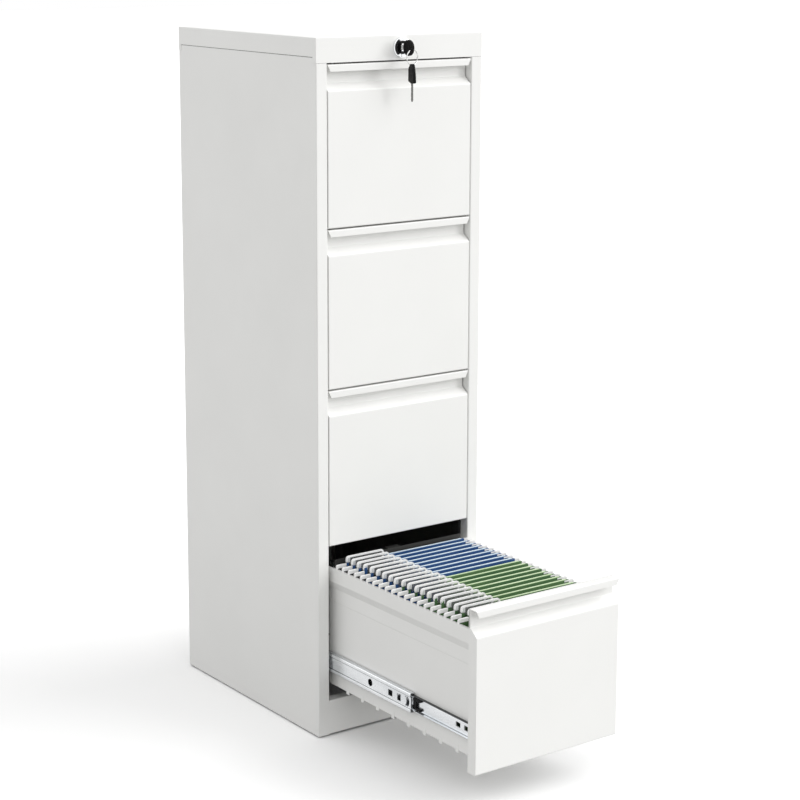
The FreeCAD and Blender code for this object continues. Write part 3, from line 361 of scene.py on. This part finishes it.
for node_name, slot_name in slots.items():
    dress(node_name, slot_finish[slot_name])
dress("left_side_panel", side_coat)
dress("right_side_panel", side_coat)
dress("plinth_rail", base_coat)
dress("slide_uprights", upright_shade)
for number in range(1, DRAWERS + 1):
    dress(f"drawer_back_{number}", back_plate_shade)
    dress(f"drawer_tray_{number}", tray_coat)
    dress(f"slide_mid_{number}", mid_zinc)
    dress(f"slide_inner_{number}", inner_zinc)


def keep(name, mesh, body, material):
    """Makes a finished mesh a piece of its body."""
    mesh.materials.clear()
    mesh.materials.append(material)
    piece = bpy.data.objects.new(name, mesh)
    bpy.context.scene.collection.objects.link(piece)
    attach(piece, body)
    return piece


def new_mesh(name, build):
    """A mesh whose faces point outwards; its points are given in millimetres."""
    shape = bmesh.new()
    build(shape)
    bmesh.ops.recalc_face_normals(shape, faces=shape.faces)
    bmesh.ops.scale(shape, vec=(MM, MM, MM), verts=shape.verts)
    mesh = bpy.data.meshes.new(name)
    shape.to_mesh(mesh)
    shape.free()
    return mesh


def slab(shape, x, y, z, bevel=0.0):
    """A block between two values along each axis, with softened edges."""
    made = bmesh.ops.create_cube(shape, size=1.0)["verts"]
    size = Vector((x[1] - x[0], y[1] - y[0], z[1] - z[0]))
    middle = Vector((x[0] + x[1], y[0] + y[1], z[0] + z[1])) / 2
    bmesh.ops.scale(shape, vec=size, verts=made)
    bmesh.ops.translate(shape, vec=middle, verts=made)
    if bevel:
        edges = list({edge for vert in made for edge in vert.link_edges})
        bmesh.ops.bevel(shape, geom=edges, offset=bevel, segments=2, affect="EDGES", profile=0.5)


def tube(shape, rings):
    """A closed tube through rings of points, one after the other."""
    rings = [[shape.verts.new(point) for point in ring] for ring in rings]
    sides = len(rings[0])
    for first, second in zip(rings, rings[1:]):
        for j in range(sides):
            shape.faces.new((first[j], first[(j + 1) % sides], second[(j + 1) % sides], second[j]))
    shape.faces.new(rings[0])
    shape.faces.new(list(reversed(rings[-1])))


def strip(shape, points, width, thick):
    """A flat bar bent in the XZ plane: it follows points, thick in that plane and wide along Y."""
    rings = []
    for i, (x, z) in enumerate(points):
        before = points[max(i - 1, 0)]
        after = points[min(i + 1, len(points) - 1)]
        along = Vector((after[0] - before[0], 0, after[1] - before[1])).normalized()
        side = Vector((-along.z, 0, along.x)) * (thick / 2)
        deep = Vector((0, width / 2, 0))
        centre = Vector((x, 0, z))
        rings.append([centre + side + deep, centre + side - deep, centre - side - deep, centre - side + deep])
    tube(shape, rings)


def rounded(corners, radius, steps=4):
    """A path through corners, each rounded by an arc; the ends stay where they are."""
    path = [corners[0]]
    for i in range(1, len(corners) - 1):
        point = Vector(corners[i])
        into = (Vector(corners[i - 1]) - point).normalized()
        away = (Vector(corners[i + 1]) - point).normalized()
        start, end = point + into * radius, point + away * radius
        for step in range(steps + 1):
            t = step / steps
            path.append(tuple((1 - t) ** 2 * start + 2 * t * (1 - t) * point + t ** 2 * end))
    path.append(corners[-1])
    return path


# Folder pieces, drawn once at y = 0 and repeated along the drawer; all sizes in millimetres

# Index tab: its frame, and the foot of the frame on the rod
TAG_LEFT = -136.5
TAG_RIGHT = -50.0
TAG_TOP = TRAY_TOP + 21.4
TAG_FOOT = ROD_TOP - 5.0
TAG_BAR = 3.3
TAG_DEEP = 2.9
TAG_ROUND = 4.5
TAG_OPEN_END = ROD_TOP + 2.0
# Card: how far its leaves stand apart at the fold, in the belly and at the hem
LEAF_THICK = 0.5
LEAF_LEVELS = 9
LEAF_FOLD = 0.35
LEAF_BELLY = 2.6
LEAF_BELLY_POWER = 0.8
LEAF_SPREAD = 0.75
LEAF_SPREAD_POWER = 4
LEAF_TOP = ROD_TOP - 1.4
LEAF_CUT = ROD_TOP - 45.0
# Columns of a leaf, each with its place and its top: the card is cut down beside the tab
LEAF_COLUMNS = ((-137.0, LEAF_CUT), (-48.0, LEAF_CUT), (-47.0, LEAF_TOP), (FOLDER_HALF, LEAF_TOP))
# Hooks: end of the thick left one, start of the slim right one, and how far both reach down
HOOK_RIGHT = -135.5
HOOK_START = 134.0
HOOK_FOOT = TRAY_TOP - 7.6
LEFT_ARM = ARM_TOP - 1.6
LEFT_ROUND = 2.0
LEFT_SIZE = (3.4, 2.6)
RIGHT_ARM = ARM_TOP - 2.6
RIGHT_ROUND = 3.5
RIGHT_SIZE = (3.0, 3.0)
# Blocks: spans along X, Y and Z, and the softening of their edges
HEM = ((-46.5, 138.0), (-1.6, 1.6), (ROD_TOP - 1.5, ROD_TOP), 0.4)
LEFT_BLOCK = ((-HOOK_END - 0.6, HOOK_RIGHT), (-1.8, 1.8), (TRAY_TOP + 1.2, ARM_TOP - 0.4), 0.6)
LOW_BAR = ((HOOK_RIGHT - 1.0, -46.0), (-0.8, 0.8), (ROD_TOP - 49.0, ROD_TOP - 46.0), 0.3)
RIGHT_WEB = ((HOOK_START, HOOK_END - 1.2), (-0.8, 0.8), (TRAY_TOP - 0.4, ARM_TOP - 2.0), 0.3)
TAG_CLIP = ((TAG_RIGHT - 3.5, TAG_RIGHT + 3.0), (-1.9, 1.9), (ROD_TOP - 1.0, ROD_TOP + 5.0), 0.6)
TAB_END = ((TAG_LEFT + 0.3, TAG_LEFT + 9.0), (-1.4, 1.4), (ROD_TOP - 0.5, TAG_TOP - 3.0), 0.5)
TONGUE = ((TAG_LEFT + 1.5, TAG_LEFT + 8.0), (-0.5, 0.5), (ROD_TOP - 7.5, TAG_TOP - 7.0), 0.2)
WINDOW = ((TAG_LEFT + 9.0, TAG_RIGHT - 1.4), (-0.4, 0.4), (TAG_FOOT, TAG_TOP - 1.4))


def build_leaves(shape):
    """The folder's card: two leaves that part below the hem and meet in a fold."""
    last = len(LEAF_COLUMNS) - 1
    for side in (1, -1):
        faces = []
        for face in (0, 1):
            levels = []
            for k in range(LEAF_LEVELS + 1):
                t = k / LEAF_LEVELS
                belly = LEAF_BELLY * math.sin(math.pi * t) ** LEAF_BELLY_POWER
                away = belly + LEAF_SPREAD * t ** LEAF_SPREAD_POWER
                y = side * (LEAF_FOLD + away + face * LEAF_THICK)
                points = [(x, y, FOLDER_BASE + (top - FOLDER_BASE) * t) for x, top in LEAF_COLUMNS]
                levels.append([shape.verts.new(point) for point in points])
            faces.append(levels)
        near, far = faces
        for k in range(LEAF_LEVELS):
            for i in range(last):
                for row in faces:
                    shape.faces.new((row[k][i], row[k][i + 1], row[k + 1][i + 1], row[k + 1][i]))
            for i in (0, last):
                shape.faces.new((near[k][i], far[k][i], far[k + 1][i], near[k + 1][i]))
        for k in (0, LEAF_LEVELS):
            for i in range(last):
                shape.faces.new((near[k][i], near[k][i + 1], far[k][i + 1], far[k][i]))


def build_hem(shape):
    """The card's folded hem over the rod, which carries the painted highlight along every folder."""
    slab(shape, *HEM)


def build_rod(shape):
    """The moulded bar with its thick left hook block and its slim right hook over the drawer's rails."""
    left = [(-HOOK_END, HOOK_FOOT), (-HOOK_END, LEFT_ARM), (HOOK_RIGHT, LEFT_ARM)]
    strip(shape, rounded(left, LEFT_ROUND), *LEFT_SIZE)
    slab(shape, *LEFT_BLOCK)
    slab(shape, *LOW_BAR)
    right = [(HOOK_END, HOOK_FOOT), (HOOK_END, RIGHT_ARM), (HOOK_START, RIGHT_ARM)]
    strip(shape, rounded(right, RIGHT_ROUND), *RIGHT_SIZE)
    slab(shape, *RIGHT_WEB)


def build_tag(shape):
    """The frame of the index tab: a rounded arch whose foot clips onto the rod."""
    left, right = TAG_LEFT + TAG_BAR / 2, TAG_RIGHT - TAG_BAR / 2
    middle = TAG_TOP - TAG_BAR / 2
    arch = [(left, TAG_OPEN_END), (left, middle), (right, middle), (right, TAG_FOOT)]
    strip(shape, rounded(arch, TAG_ROUND, 6), TAG_DEEP, TAG_BAR)
    slab(shape, *TAG_CLIP)


def build_tab_end(shape):
    """The frosted lower end of the tab, through which the folder's colour shows."""
    slab(shape, *TAB_END)


def build_tongue(shape):
    """The strip of the folder's own card that stands behind the frosted end."""
    slab(shape, *TONGUE)


def build_window(shape):
    """The clear window inside the tab's frame."""
    slab(shape, *WINDOW)


def row_tree():
    """A node tree that repeats a piece forwards along the drawer, each one turned a little."""
    tree = bpy.data.node_groups.new("row_along_drawer", "GeometryNodeTree")
    sockets = (
        ("Piece", "INPUT", "NodeSocketGeometry"),
        ("Count", "INPUT", "NodeSocketInt"),
        ("Start", "INPUT", "NodeSocketVector"),
        ("Step", "INPUT", "NodeSocketVector"),
        ("Turn", "INPUT", "NodeSocketVector"),
        ("Seed", "INPUT", "NodeSocketInt"),
        ("Finish", "INPUT", "NodeSocketMaterial"),
        ("Row", "OUTPUT", "NodeSocketGeometry"),
    )
    for name, way, kind in sockets:
        tree.interface.new_socket(name=name, in_out=way, socket_type=kind)
    given = add(tree, "NodeGroupInput").outputs
    line = add(tree, "GeometryNodeMeshLine", {
        "Count": given["Count"], "Start Location": given["Start"], "Offset": given["Step"],
    })
    low = add(tree, "ShaderNodeVectorMath", {0: given["Turn"], "Scale": -1.0}, operation="SCALE")
    turn = add(tree, "FunctionNodeRandomValue", {
        "Min": low.outputs[0], "Max": given["Turn"], "Seed": given["Seed"],
    }, data_type="FLOAT_VECTOR")
    euler = add(tree, "FunctionNodeEulerToRotation", {0: turn.outputs[0]})
    copies = add(tree, "GeometryNodeInstanceOnPoints", {
        "Points": line.outputs["Mesh"], "Instance": given["Piece"], "Rotation": euler.outputs[0],
    })
    plain = add(tree, "GeometryNodeRealizeInstances", {0: copies.outputs[0]})
    dressed = add(tree, "GeometryNodeSetMaterial", {
        "Geometry": plain.outputs[0], "Material": given["Finish"],
    })
    add(tree, "NodeGroupOutput", {"Row": dressed.outputs[0]})
    return tree


ROW = row_tree()


def row_mesh(name, build, first, count, turn, seed, material):
    """A plain mesh of one folder piece repeated along the drawer."""
    source = bpy.data.objects.new(name + "_source", new_mesh(name + "_source", build))
    bpy.context.scene.collection.objects.link(source)
    modifier = source.modifiers.new("row", "NODES")
    modifier.node_group = ROW
    values = {
        "Count": count,
        "Start": (0.0, (FIRST_FOLDER - first * FOLDER_PITCH) * MM, 0.0),
        "Step": (0.0, -FOLDER_PITCH * MM, 0.0),
        "Turn": turn,
        "Seed": seed,
        "Finish": material,
    }
    for item in ROW.interface.items_tree:
        if item.in_out == "INPUT" and item.name in values:
            modifier[item.identifier] = values[item.name]
    bpy.context.view_layer.update()
    graph = bpy.context.evaluated_depsgraph_get()
    mesh = bpy.data.meshes.new_from_object(source.evaluated_get(graph))
    mesh.name = name
    bpy.data.objects.remove(source)
    return mesh


# How far, in radians, a piece may be turned about X, Y and Z
SWAY = (0.0, 0.0008, 0.006)
TAG_SWAY = (0.0, 0.004, 0.012)
STILL = (0.0, 0.0, 0.0)
# Pieces with one seed turn together
BLUE_SEED, GREEN_SEED, ROD_SEED, TAG_SEED = 3, 4, 5, 6
# Rows: the first folder, how many, how far turned, and the seed
BLUE_ROW = (0, BLUE_FOLDERS, SWAY, BLUE_SEED)
GREEN_ROW = (BLUE_FOLDERS, GREEN_FOLDERS, SWAY, GREEN_SEED)
ROD_ROW = (0, FOLDERS, STILL, ROD_SEED)
TAG_ROW = (0, FOLDERS, TAG_SWAY, TAG_SEED)

blue_leaves = row_mesh("blue_leaves", build_leaves, *BLUE_ROW, blue_card)
green_leaves = row_mesh("green_leaves", build_leaves, *GREEN_ROW, green_card)
blue_hems = row_mesh("blue_hems", build_hem, *BLUE_ROW, blue_hem_highlight)
green_hems = row_mesh("green_hems", build_hem, *GREEN_ROW, green_hem_highlight)
blue_tongues = row_mesh("blue_tongues", build_tongue, *BLUE_ROW, blue_card)
green_tongues = row_mesh("green_tongues", build_tongue, *GREEN_ROW, green_card)
rods = row_mesh("folder_rods", build_rod, *ROD_ROW, white_pp)
frames = row_mesh("tab_frames", build_tag, *TAG_ROW, white_pp)
windows = row_mesh("tab_windows", build_window, *TAG_ROW, shade_grey_pvc)
ends = row_mesh("tab_ends", build_tab_end, *TAG_ROW, frosted_pvc)
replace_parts(keep("folder_leaves_blue", blue_leaves, "drawer_4", blue_card), "blue_folders")
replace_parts(keep("folder_leaves_green", green_leaves, "drawer_4", green_card), "green_folders")
keep("folder_hems_blue", blue_hems, "drawer_4", blue_hem_highlight)
keep("folder_hems_green", green_hems, "drawer_4", green_hem_highlight)
keep("folder_tongues_blue", blue_tongues, "drawer_4", blue_card)
keep("folder_tongues_green", green_tongues, "drawer_4", green_card)
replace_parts(keep("folder_rods_hooked", rods, "drawer_4", white_pp), "folder_rods")
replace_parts(keep("folder_tab_frames", frames, "drawer_4", white_pp), "folder_tags")
keep("folder_tab_windows", windows, "drawer_4", shade_grey_pvc)
keep("folder_tab_ends", ends, "drawer_4", frosted_pvc)


# Key ring and spare key, which hang from the key in the lock; sizes in millimetres

RING_RADIUS = 14.3
RING_WIRE = 0.75
RING_TURN = math.radians(11.0)
RING_CENTRE = Vector((1.5, -52.5, LOCK_HEIGHT - 17.0))
RING_ROUNDS = 2.0
RING_STEPS = 96
RING_SIDES = 8
# How far the wire moves along the ring's axis over its rounds, in radii of the wire
RING_LEAD = 2.2
SPARE_TURN = math.radians(-12.0)
SPARE_EYE = Vector((1.5, -52.5, LOCK_HEIGHT - 33.0))
# Points across and above the eye
HEAD_OUTLINE = [
    (0.0, 4.0), (-4.8, 4.0), (-8.2, -6.0), (-10.4, -16.0), (-12.0, -30.5),
    (-1.9, -32.0), (12.0, -28.0), (11.3, -4.5), (2.8, 4.0),
]
HEAD_ROUND = 1.4
HEAD_THICK = 5.6
HEAD_EDGE = 0.8
BLADE_TOP = -31.0
BLADE_TIP = -65.5
BLADE_HALF = 2.6
BLADE_POINT = 3
BLADE_THICK = 2.0
# Cuts of the blade: height above its tip, and depth
BLADE_CUTS = ((8.0, 0.9), (13.0, 0.4), (18.0, 1.1), (23.0, 0.6), (28.0, 1.2))
CUT_HALF = 2.0


def build_ring(shape):
    """A split ring: two close turns of spring wire, hanging a little turned."""
    turned = Matrix.Rotation(RING_TURN, 3, "Z")
    deep = turned @ Vector((0.0, 1.0, 0.0))
    rings = []
    for i in range(RING_STEPS + 1):
        angle = 2 * math.pi * RING_ROUNDS * i / RING_STEPS
        out = turned @ Vector((math.cos(angle), 0.0, math.sin(angle)))
        middle = RING_CENTRE + out * RING_RADIUS + deep * ((i / RING_STEPS - 0.5) * RING_LEAD * RING_WIRE)
        ring = []
        for j in range(RING_SIDES):
            turn = 2 * math.pi * j / RING_SIDES
            ring.append(middle + (out * math.cos(turn) + deep * math.sin(turn)) * RING_WIRE)
        rings.append(ring)
    tube(shape, rings)


def plate(shape, outline, thick, bevel=0.0):
    """A flat plate through the spare key's eye, turned as it hangs, with softened edges."""
    turned = Matrix.Rotation(SPARE_TURN, 3, "Z")
    rows = []
    for x in (-thick / 2, thick / 2):
        rows.append([shape.verts.new(SPARE_EYE + turned @ Vector((x, y, z))) for y, z in outline])
    faces = [shape.faces.new(rows[0]), shape.faces.new(list(reversed(rows[1])))]
    for i in range(len(outline)):
        j = (i + 1) % len(outline)
        shape.faces.new((rows[0][i], rows[0][j], rows[1][j], rows[1][i]))
    if bevel:
        edges = list(faces[0].edges) + list(faces[1].edges)
        bmesh.ops.bevel(shape, geom=edges, offset=bevel, segments=3, affect="EDGES", profile=0.5)


def build_spare_head(shape):
    """The spare key's tapered plastic head: a narrow eye, straight sides and a slanted foot."""
    outline = rounded(HEAD_OUTLINE + HEAD_OUTLINE[:1], HEAD_ROUND)[:-1]
    plate(shape, outline, HEAD_THICK, HEAD_EDGE)


def build_spare_blade(shape):
    """The spare key's slim steel blade with its cuts."""
    shoulder = BLADE_TIP + BLADE_POINT
    outline = [(-BLADE_HALF, BLADE_TOP), (-BLADE_HALF, shoulder), (0.0, BLADE_TIP), (BLADE_HALF, shoulder)]
    for rise, depth in BLADE_CUTS:
        outline.append((BLADE_HALF, BLADE_TIP + rise - CUT_HALF))
        outline.append((BLADE_HALF - depth, BLADE_TIP + rise))
        outline.append((BLADE_HALF, BLADE_TIP + rise + CUT_HALF))
    outline.append((BLADE_HALF, BLADE_TOP))
    plate(shape, outline, BLADE_THICK)


keep("key_ring", new_mesh("key_ring", build_ring), "key", wire)
keep("spare_key_head", new_mesh("spare_key_head", build_spare_head), "key", black_abs)
keep("spare_key_blade", new_mesh("spare_key_blade", build_spare_blade), "key", darker_steel)

bpy.data.meshes["key_ring"].shade_smooth()


# Camera, light and floor, in metres

YAW, PITCH, ROLL = math.radians(35.953), math.radians(-10.909), math.radians(0.164)
CAMERA_PLACE = (-2.2501, -3.1210, 1.5328)
FOCAL_PIXELS = 2061.9
IMAGE_PIXELS = 800
SENSOR_MM = 36.0

camera = bpy.data.objects.new("camera", bpy.data.cameras.new("camera"))
bpy.context.scene.collection.objects.link(camera)
turned = Matrix.Rotation(-YAW, 4, "Z") @ Matrix.Rotation(math.pi / 2 + PITCH, 4, "X")
turned = turned @ Matrix.Rotation(ROLL, 4, "Z")
camera.matrix_world = Matrix.Translation(CAMERA_PLACE) @ turned
camera.data.sensor_width = SENSOR_MM
camera.data.lens = FOCAL_PIXELS / IMAGE_PIXELS * SENSOR_MM
camera.data.shift_y = -0.1
camera.data.clip_start = 0.05
camera.data.clip_end = 100.0
bpy.context.scene.camera = camera

# Each sun's name, the place that it shines from, its strength, and its width in degrees
SUNS = (
    ("side_light", (3.7, -3.35, 0.6), 0.5, 14),
    ("right_light", (4.0, -2.4, 3.6), 1.57, 50),
    ("front_light", (0.0, -4.0, 3.2), 0.53, 60),
    ("left_light", (-4.0, 3.4, 2.8), 0.60, 60),
)
SKY_STRENGTH = 0.62
FLOOR_REACH = 30.0

for name, place, energy, width in SUNS:
    sun = bpy.data.lights.new(name, "SUN")
    sun.energy = energy
    sun.angle = math.radians(width)
    light = bpy.data.objects.new(name, sun)
    bpy.context.scene.collection.objects.link(light)
    aim = (Vector((0.0, 0.0, 0.0)) - Vector(place)).to_track_quat("-Z", "Y")
    light.matrix_world = Matrix.Translation(place) @ aim.to_matrix().to_4x4()

world = bpy.data.worlds.new("studio")
bpy.context.scene.world = world
world.use_nodes = True
sky = world.node_tree
sky.nodes.clear()
# The object gets a softer light than the white that the eye sees
soft = add(sky, "ShaderNodeBackground", {"Color": linear("FFFFFF"), "Strength": SKY_STRENGTH}).outputs[0]
white = add(sky, "ShaderNodeBackground", {"Color": linear("FFFFFF"), "Strength": 1.0}).outputs[0]
mixed = add(sky, "ShaderNodeMixShader", {0: seen_rays(sky), 1: soft, 2: white}).outputs[0]
add(sky, "ShaderNodeOutputWorld", {"Surface": mixed})

corners = [(-FLOOR_REACH, -FLOOR_REACH, 0), (FLOOR_REACH, -FLOOR_REACH, 0)]
corners += [(FLOOR_REACH, FLOOR_REACH, 0), (-FLOOR_REACH, FLOOR_REACH, 0)]
floor_mesh = bpy.data.meshes.new("floor")
floor_mesh.from_pydata(corners, [], [(0, 1, 2, 3)])
floor_mesh.materials.append(studio_floor())
floor = bpy.data.objects.new("floor", floor_mesh)
bpy.context.scene.collection.objects.link(floor)

bpy.context.scene.view_settings.view_transform = "Standard"
